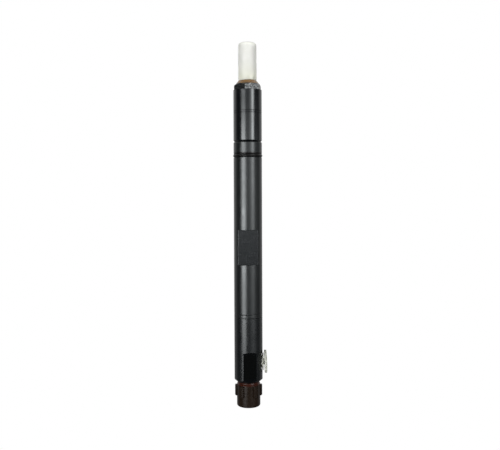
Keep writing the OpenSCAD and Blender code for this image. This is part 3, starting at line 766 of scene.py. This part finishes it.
foot_low, foot_high = span("foot_housing")
foot = turned([
    (CAP_SPIGOT_BORE_R, foot_low), (CAP_SPIGOT_R, foot_low, 0.2), (CAP_SPIGOT_R, FOOT_END),
    (8.7, FOOT_END, 0.15), (barrel_r, FOOT_END + 2.0, 0.3), (barrel_r, foot_top, EDGE),
    (SPIGOT_R, foot_top), (SPIGOT_R, 77.1), (SEAL_GROOVE_R, 77.1), (SEAL_GROOVE_R, 78.2),
    (SPIGOT_R, 78.2), (SPIGOT_R, foot_high, 0.3), (8.0, foot_high), (8.0, 65.9),
    (FOOT_BORE_R, 65.9), (FOOT_BORE_R, FOOT_END + 3.0), (CAP_SPIGOT_BORE_R, FOOT_END + 3.0),
])
foot = milled(foot, arched(DISPLAY_HALF, FOOT_END - 5, DISPLAY_TOP, DISPLAY_ARCH_R, DISPLAY_APOTHEM, FAR))
foot = milled(foot, arched(WINDOW_HALF, WINDOW_LOW, WINDOW_TOP, WINDOW_ARCH_R, WINDOW_HOLE_BACK, FAR))
foot = milled(foot, drill(BUTTON_SEAT_R, BUTTON_SEAT_X))
foot = milled(foot, drill(STEM_HOLE_R, STEM_HOLE_X))
toward_display = Matrix.Rotation(math.radians(DISPLAY_TURN), 3, "Z") @ Vector((0, -1, 0))


def on_foot_cuts(x, y, z):
    outside = math.hypot(x, y) > DISPLAY_APOTHEM and FOOT_END + 1.5 < z < foot_top - 2
    return outside and (Vector((x, y, 0)).dot(toward_display) > DISPLAY_APOTHEM - 0.2 or x > 9)


break_edges(foot, 0.1, on_foot_cuts)
foot = joined(foot, thread(CAP_SPIGOT_R, CAP_SPIGOT_R + THREAD_HEIGHT, foot_low + 0.3, THREAD_TURNS))
foot_shell = piece("foot_shell", foot, "barrel", foot_acetal, ["foot_housing"])
foot_shell.data.materials.append(gloss_acetal)
for face in foot_shell.data.polygons:
    in_plane = abs(face.center.dot(toward_display) - DISPLAY_APOTHEM * MM) < FLAT_SLACK * MM
    if in_plane and face.normal.dot(toward_display) > SQUARE_ON:
        face.material_index = 1

# %% [markdown]
# ## The display window
# A smoked acrylic plate, flush in the flat. A hairline joint runs round it and its edges are broken.
# %% Window
pane = arched(WINDOW_HALF - WINDOW_JOINT, WINDOW_LOW + WINDOW_JOINT, WINDOW_TOP - WINDOW_JOINT,
              WINDOW_ARCH_R - WINDOW_JOINT, WINDOW_BACK, DISPLAY_APOTHEM)
break_edges(pane, 0.12, lambda x, y, z: Vector((x, y, 0)).dot(toward_display) > 9.7)
piece("window_pane", pane, "barrel", window_acrylic, ["display_window"])

# %% [markdown]
# ## The outer seal
# A black O-ring that fills the groove below the head. Two fine flash lines from its mould run round
# the inside and the outside, where the halves of the mould met.
# %% Outer seal
SEAL_RING = 10.04
SEAL_CORD = 1.31
seal_z = sum(span("barrel_seal")) / 2
SEAL_STEPS = 28
FLASH = 0.03
section = []
for step in range(SEAL_STEPS):
    angle = FULL_TURN * step / SEAL_STEPS
    flash = FLASH if step in (0, SEAL_STEPS // 2) else 0.0
    section.append((SEAL_RING + (SEAL_CORD + flash) * math.cos(angle), seal_z + SEAL_CORD * math.sin(angle)))
piece("outer_seal", turned(section), "barrel", seal_rubber, ["barrel_seal"])

# %% [markdown]
# ## The backing ring
# A flat ring of the same rubber fills the upper part of the groove, just below the barrel's surface,
# and keeps the round seal from rolling.
# %% Backing ring
BACKING_LOW = 196.85
BACKING_HIGH = 197.75
backing = turned([
    (GROOVE_FLOOR + 0.05, BACKING_LOW, 0.1), (barrel_r - 0.05, BACKING_LOW, 0.15),
    (barrel_r - 0.05, BACKING_HIGH, 0.15), (GROOVE_FLOOR + 0.05, BACKING_HIGH, 0.1),
])
piece("backing_ring", backing, "barrel", seal_rubber)

# %% [markdown]
# ## The head
# The turned head screws into the barrel. Two fine lines are scribed round it, the lower edge is the
# other half of the V, and a hexagon for a spanner is milled at the top. A ring-shaped cutter with a
# hexagonal hole leaves the hexagon, and a chamfer turned on top rounds its upper corners.
# %% Head
HEX_TURN = 19.5
HEX_LOW = 245.9
HEX_APOTHEM = 9.483
HEX_CHAMFER = 249.0
HEX_INNER = 9.3
FACET_AREA = 2.0
CONE_R = 9.1
SCRIBE_DEPTH = 0.28
SCRIBE_HALF = 0.22
SCRIBE_HEIGHTS = (228.2, 229.8)
HEAD_BORE_R = 6.05
HEAD_SPIGOT_R = 6.6
COLLAR_SEAT_R = 7.5
COLLAR_SEAT_DEPTH = 1.7
head_base = barrel_high + 0.2
seat_z = head_high - COLLAR_SEAT_DEPTH


def scribed(z):
    return [(barrel_r, z - SCRIBE_HALF), (barrel_r - SCRIBE_DEPTH, z), (barrel_r, z + SCRIBE_HALF)]


head = turned([
    (HEAD_BORE_R, head_low), (HEAD_SPIGOT_R, head_low, 0.15), (HEAD_SPIGOT_R, head_base),
    (barrel_r - V_DEPTH, head_base, 0.05), (barrel_r, head_base + V_HEIGHT, EDGE),
    *scribed(SCRIBE_HEIGHTS[0]), *scribed(SCRIBE_HEIGHTS[1]), (barrel_r, HEX_CHAMFER),
    (CONE_R, head_high, 0.1), (COLLAR_SEAT_R, head_high), (COLLAR_SEAT_R, seat_z), (HEAD_BORE_R, seat_z),
])
score(head, HEX_LOW - GUARD)
hex_corner = HEX_APOTHEM / math.cos(math.pi / 6)
hex_cutter = turned([(hex_corner, HEX_LOW), (FAR, HEX_LOW), (FAR, FAR * 5), (hex_corner, FAR * 5)], steps=6)
head = milled(head, turn_about_z(hex_cutter, HEX_TURN))
break_edges(head, 0.1, lambda x, y, z: HEX_LOW - 0.1 < z < head_high and math.hypot(x, y) > HEX_INNER)
head = joined(head, thread(HEAD_SPIGOT_R, HEAD_SPIGOT_R + THREAD_HEIGHT, head_low + 0.3, THREAD_TURNS))
head_shell = piece("head_shell", head, "head", fine_acetal, ["head_sleeve"])
head_shell.data.materials.append(sawn_facet)
for face in head_shell.data.polygons:
    outward = math.hypot(face.center.x, face.center.y) > HEX_INNER * MM
    if HEX_LOW * MM < face.center.z < head_high * MM and outward and face.area > FACET_AREA * MM ** 2:
        face.material_index = 1
print("facets:", sum(face.material_index for face in head_shell.data.polygons))

# %% [markdown]
# ## The sensor cartridge
# An amber tube with a conical collar that seats on the hexagon. Four windows near its tip let the
# water reach the bulb and leave a guard ring above it.
# %% Cartridge
SENSOR_R = 6.0
SENSOR_BORE_R = 4.9
CONE_TOP_R = 7.1
CONE_HEIGHT = 2.6
SLOT_HALF = 2.5
SLOT_LOW = 263.5
GUARD_RING = 3.5
sensor_low, tip_high = span("sensor_body")
cone_top = head_high + CONE_HEIGHT
slot_high = tip_high - GUARD_RING
cartridge = turned([
    (SENSOR_BORE_R, sensor_low), (SENSOR_R, sensor_low, 0.2), (SENSOR_R, head_high),
    (CONE_R, head_high, 0.12), (CONE_TOP_R, cone_top, 0.1), (SENSOR_R, cone_top),
    (SENSOR_R, tip_high, 0.7), (SENSOR_BORE_R, tip_high, 0.2),
])
score(cartridge, SLOT_LOW - GUARD, slot_high + GUARD)
for turn in (45, 135):
    slot = block((-FAR, -SLOT_HALF, SLOT_LOW), (FAR, SLOT_HALF, slot_high))
    cartridge = milled(cartridge, turn_about_z(slot, turn))
break_edges(cartridge, 0.15, lambda x, y, z: SLOT_LOW - 0.2 < z < slot_high + 0.2)
piece("cartridge", cartridge, "head", amber_plastic, ["sensor_body"])

# %% [markdown]
# ## The wetting cap
# A thin-walled milky cap, moulded with a rounded top, pushed over the tip. It rests on the collar.
# %% Wetting cap
WET_CAP_R = 7.05
WET_CAP_BORE_R = 6.1
WET_CAP_ROOF = 2.5
wet_low, wet_high = span("wetting_cap")
tip_cap = turned([
    (0, wet_high), (WET_CAP_R, wet_high, 2.3), (WET_CAP_R, wet_low, 0.25), (WET_CAP_BORE_R, wet_low, 0.2),
    (WET_CAP_BORE_R, wet_high - WET_CAP_ROOF, 0.6), (0, wet_high - WET_CAP_ROOF),
], closed=False)
piece("tip_cap", tip_cap, "wet_cap", milky_plastic, ["wetting_cap"])

# %% [markdown]
# ## The battery cap
# A dark brown cap with six grip ribs. Each rib is a short bar with softened edges, drawn in profile,
# stretched sideways and united with the turned cap. The cap narrows above the ribs to its groove.
# %% Battery cap
CAP_R = 9.16
RIB_LOW = 8.1
RIB_HIGH = 17.0
RIB_REACH = 10.63
RIB_HALF = 1.35
RIB_COUNT = 6
CAP_SEAL_R = 8.5
CAP_SEAL_LOW = 17.2
CAP_THREAD_R = 7.45
CAP_THREAD_LOW = 8.0
CELL_WELL_R = 6.0
CELL_WELL_LOW = 1.8

cap = turned([
    (0, cap_low), (CAP_R, cap_low, 1.6), (CAP_R, 17.5, 0.15), (8.66, 18.6, 0.2), (8.54, cap_high, 0.1),
    (CAP_SEAL_R, cap_high), (CAP_SEAL_R, CAP_SEAL_LOW), (CAP_THREAD_R, CAP_SEAL_LOW, 0.2),
    (CAP_THREAD_R, CAP_THREAD_LOW), (CELL_WELL_R, CAP_THREAD_LOW), (CELL_WELL_R, CELL_WELL_LOW, 0.3),
    (0, CELL_WELL_LOW),
], closed=False)


def rib():
    bm = bmesh.new()
    profile = [(CAP_R - 0.6, RIB_LOW), (RIB_REACH - 0.8, RIB_LOW), (RIB_REACH, RIB_LOW + 0.8),
               (RIB_REACH, RIB_HIGH - 0.4), (RIB_REACH - 0.4, RIB_HIGH), (CAP_R - 0.6, RIB_HIGH)]
    face = bm.faces.new([bm.verts.new((x, -RIB_HALF, z)) for x, z in profile])
    swept = bmesh.ops.extrude_face_region(bm, geom=[face])
    verts = [v for v in swept["geom"] if isinstance(v, bmesh.types.BMVert)]
    bmesh.ops.translate(bm, vec=(0, 2 * RIB_HALF, 0), verts=verts)
    bmesh.ops.recalc_face_normals(bm, faces=bm.faces)
    return break_edges(bm, 0.3, lambda x, y, z: x > CAP_R)


score(cap, RIB_LOW - GUARD)
ribs = joined(*[turn_about_z(rib(), 360 * i / RIB_COUNT) for i in range(RIB_COUNT)])
cap = milled(cap, ribs, "UNION")


def at_rib_roots(x, y, z):
    return RIB_LOW - 0.2 < z < RIB_HIGH + 0.1 and CAP_R - 0.1 < math.hypot(x, y) < CAP_R + 0.1


break_edges(cap, 0.12, at_rib_roots)
piece("grip_cap", cap, "battery_cap", brown_plastic, ["foot_cap"])

# %% [markdown]
# ## The push button
# Clear silicone: a round pad on a stem, and behind it a flared collar that seals the hole. The soft
# pad hangs two degrees out of square, its top edge nearer to the barrel.
# %% Push button
PAD_X = 12.4
PAD_OUT = 14.5
PAD_R = 8.95
PAD_TILT = math.radians(2.0)
STEM_R = 2.5
STEM_END_X = 8.35
COLLAR_R = 6.85
COLLAR_FRONT_X = 11.7
COLLAR_BORE_R = 2.6

pad = along_x(turned([(0, PAD_X), (PAD_R, PAD_X, 0.6), (PAD_R, PAD_OUT - 0.2, 0.8),
                      (PAD_R * 0.5, PAD_OUT), (0, PAD_OUT)], closed=False), PAD_X, -PAD_TILT)
stem = along_x(turned([(0, STEM_END_X), (STEM_R, STEM_END_X, 0.2), (STEM_R, PAD_X + 1.0),
                       (0, PAD_X + 1.0)], closed=False))
pad = milled(pad, stem, "UNION")
piece("press_pad", pad, "button", clear_silicone, ["button_pad"])
collar = along_x(turned([(COLLAR_BORE_R, BUTTON_SEAT_X), (4.25, BUTTON_SEAT_X), (COLLAR_R, 11.1, 0.15),
                         (COLLAR_R, COLLAR_FRONT_X, 0.3), (COLLAR_BORE_R, COLLAR_FRONT_X, 0.15)]))
piece("seal_collar", collar, "barrel", clear_silicone, ["button_collar"])

# %% [markdown]
# ## The studio
# A glossy black cylinder shows nothing but the reflection of the room, so the room is the light. It is
# painted on the sky as a function of direction: a tall softbox to the left of the camera, a narrower
# one with a weak surround to the right, a dim gap between them for the camera, dark sides, and a
# white sweep behind that gives both edges of the barrel their bright rim. Weak boxes above and below
# light the pale cap. What the camera sees directly is plain white.
# %% Studio light
world = bpy.data.worlds.new("studio")
bpy.context.scene.world = world
world.use_nodes = True
sky = world.node_tree
sky.nodes.clear()


def patch(brightness, *edges):
    """A patch of light. Each edge is an angle, where the light starts and where it is full."""
    level = brightness
    for angle, start, full in edges:
        edge = add(sky, "ShaderNodeMapRange", {"interpolation_type": "SMOOTHSTEP"},
                   {"Value": angle, "From Min": start, "From Max": full})
        level = add(sky, "ShaderNodeMath", {"operation": "MULTIPLY"},
                    {0: level, 1: edge.outputs["Result"]}).outputs["Value"]
    return level


def softbox(sides, heights, brightness, side_soft=5.5, height_soft=5.0):
    """A glowing rectangle between two azimuths and two elevations, in degrees."""
    left, right = sides
    low, high = heights
    return patch(brightness, (azimuth, left - side_soft, left + side_soft),
                 (azimuth, right + side_soft, right - side_soft),
                 (elevation, low - height_soft, low + height_soft),
                 (elevation, high + height_soft, high - height_soft))


direction = add(sky, "ShaderNodeSeparateXYZ", {},
                {"Vector": add(sky, "ShaderNodeTexCoord").outputs["Generated"]})
toward_camera = add(sky, "ShaderNodeMath", {"operation": "MULTIPLY"}, {0: direction.outputs["Y"], 1: -1.0})
around = add(sky, "ShaderNodeMath", {"operation": "ARCTAN2"},
             {0: direction.outputs["X"], 1: toward_camera.outputs["Value"]})
upward = add(sky, "ShaderNodeMath", {"operation": "ARCSINE"}, {0: direction.outputs["Z"]})
azimuth, elevation = (
    add(sky, "ShaderNodeMath", {"operation": "DEGREES"}, {0: angle.outputs["Value"]}).outputs["Value"]
    for angle in (around, upward))
off_front = add(sky, "ShaderNodeMath", {"operation": "ABSOLUTE"}, {0: azimuth}).outputs["Value"]
behind = (off_front, 90, 120)
below_zenith = (elevation, 75, 30)
SWEEP_FULL = 0.8
SWEEP_LOW = 0.32
AMBIENT = 0.04
lights = [
    softbox((-51, -19), (-7.0, 4.5), 23.0, height_soft=3.0),
    softbox((32, 50), (1, 24), 10.0, height_soft=4.0),
    softbox((14, 56), (-4, 22), 1.3),
    softbox((14, 90), (-4.5, 5.5), 0.9, height_soft=3.0),
    softbox((-18, 18), (0.5, 5.0), 3.0, height_soft=2.5),
    softbox((20, 48), (1.0, 5.0), 4.5, height_soft=2.5),
    softbox((20, 70), (-25, -4), 0.25),
    softbox((-15, 12), (-7, 60), 0.3),
    softbox((-52, -16), (-64, -38), 2.5),
    softbox((18, 58), (-64, -38), 1.2),
    patch(SWEEP_LOW, behind, below_zenith),
    patch(SWEEP_FULL - SWEEP_LOW, behind, below_zenith, (elevation, -14, 2)),
    softbox((-105, -45), (42, 66), 1.0),
    softbox((45, 105), (42, 66), 1.0),
    patch(0.15, (elevation, 25, 45)),
]
glow = AMBIENT
for light in lights:
    glow = add(sky, "ShaderNodeMath", {"operation": "ADD"}, {0: glow, 1: light}).outputs["Value"]
seen = add(sky, "ShaderNodeLightPath").outputs["Is Camera Ray"]
dome = add(sky, "ShaderNodeBackground", {}, {"Color": (1, 1, 1, 1), "Strength": glow})
backdrop = add(sky, "ShaderNodeBackground", {}, {"Color": (1, 1, 1, 1), "Strength": 1.0})
either = add(sky, "ShaderNodeMixShader", {},
             {0: seen, 1: dome.outputs["Background"], 2: backdrop.outputs["Background"]})
add(sky, "ShaderNodeOutputWorld", {}, {"Surface": either.outputs["Shader"]})
bpy.context.scene.view_settings.view_transform = "Standard"
print("studio lights:", len(lights))

# %% [markdown]
# ## The floor
# A plain pale sheet under the foot. It is as white as the sweep behind it and stays out of the
# reflections, so the polished foot keeps its dark lower end.
# %% Floor
FLOOR_HALF = 400.0
FLOOR_DROP = 0.3
floor_sheet = bmesh.new()
bmesh.ops.create_grid(floor_sheet, x_segments=4, y_segments=4, size=FLOOR_HALF)
bmesh.ops.translate(floor_sheet, vec=(0, 0, -FLOOR_DROP), verts=floor_sheet.verts)
bmesh.ops.scale(floor_sheet, vec=(MM, MM, MM), verts=floor_sheet.verts)
floor = as_object(floor_sheet, "floor")
pale_sheet = new_finish(
    "pale_floor", Base_Color=colour("#000000"), Roughness=1.0, Specular_IOR_Level=0.0,
    Emission_Color=colour("#ffffff"), Emission_Strength=1.0)[0]
floor.data.materials.append(pale_sheet)
floor.visible_glossy = False
floor.visible_diffuse = False
floor.visible_transmission = False
floor.visible_shadow = False
print("floor ready")
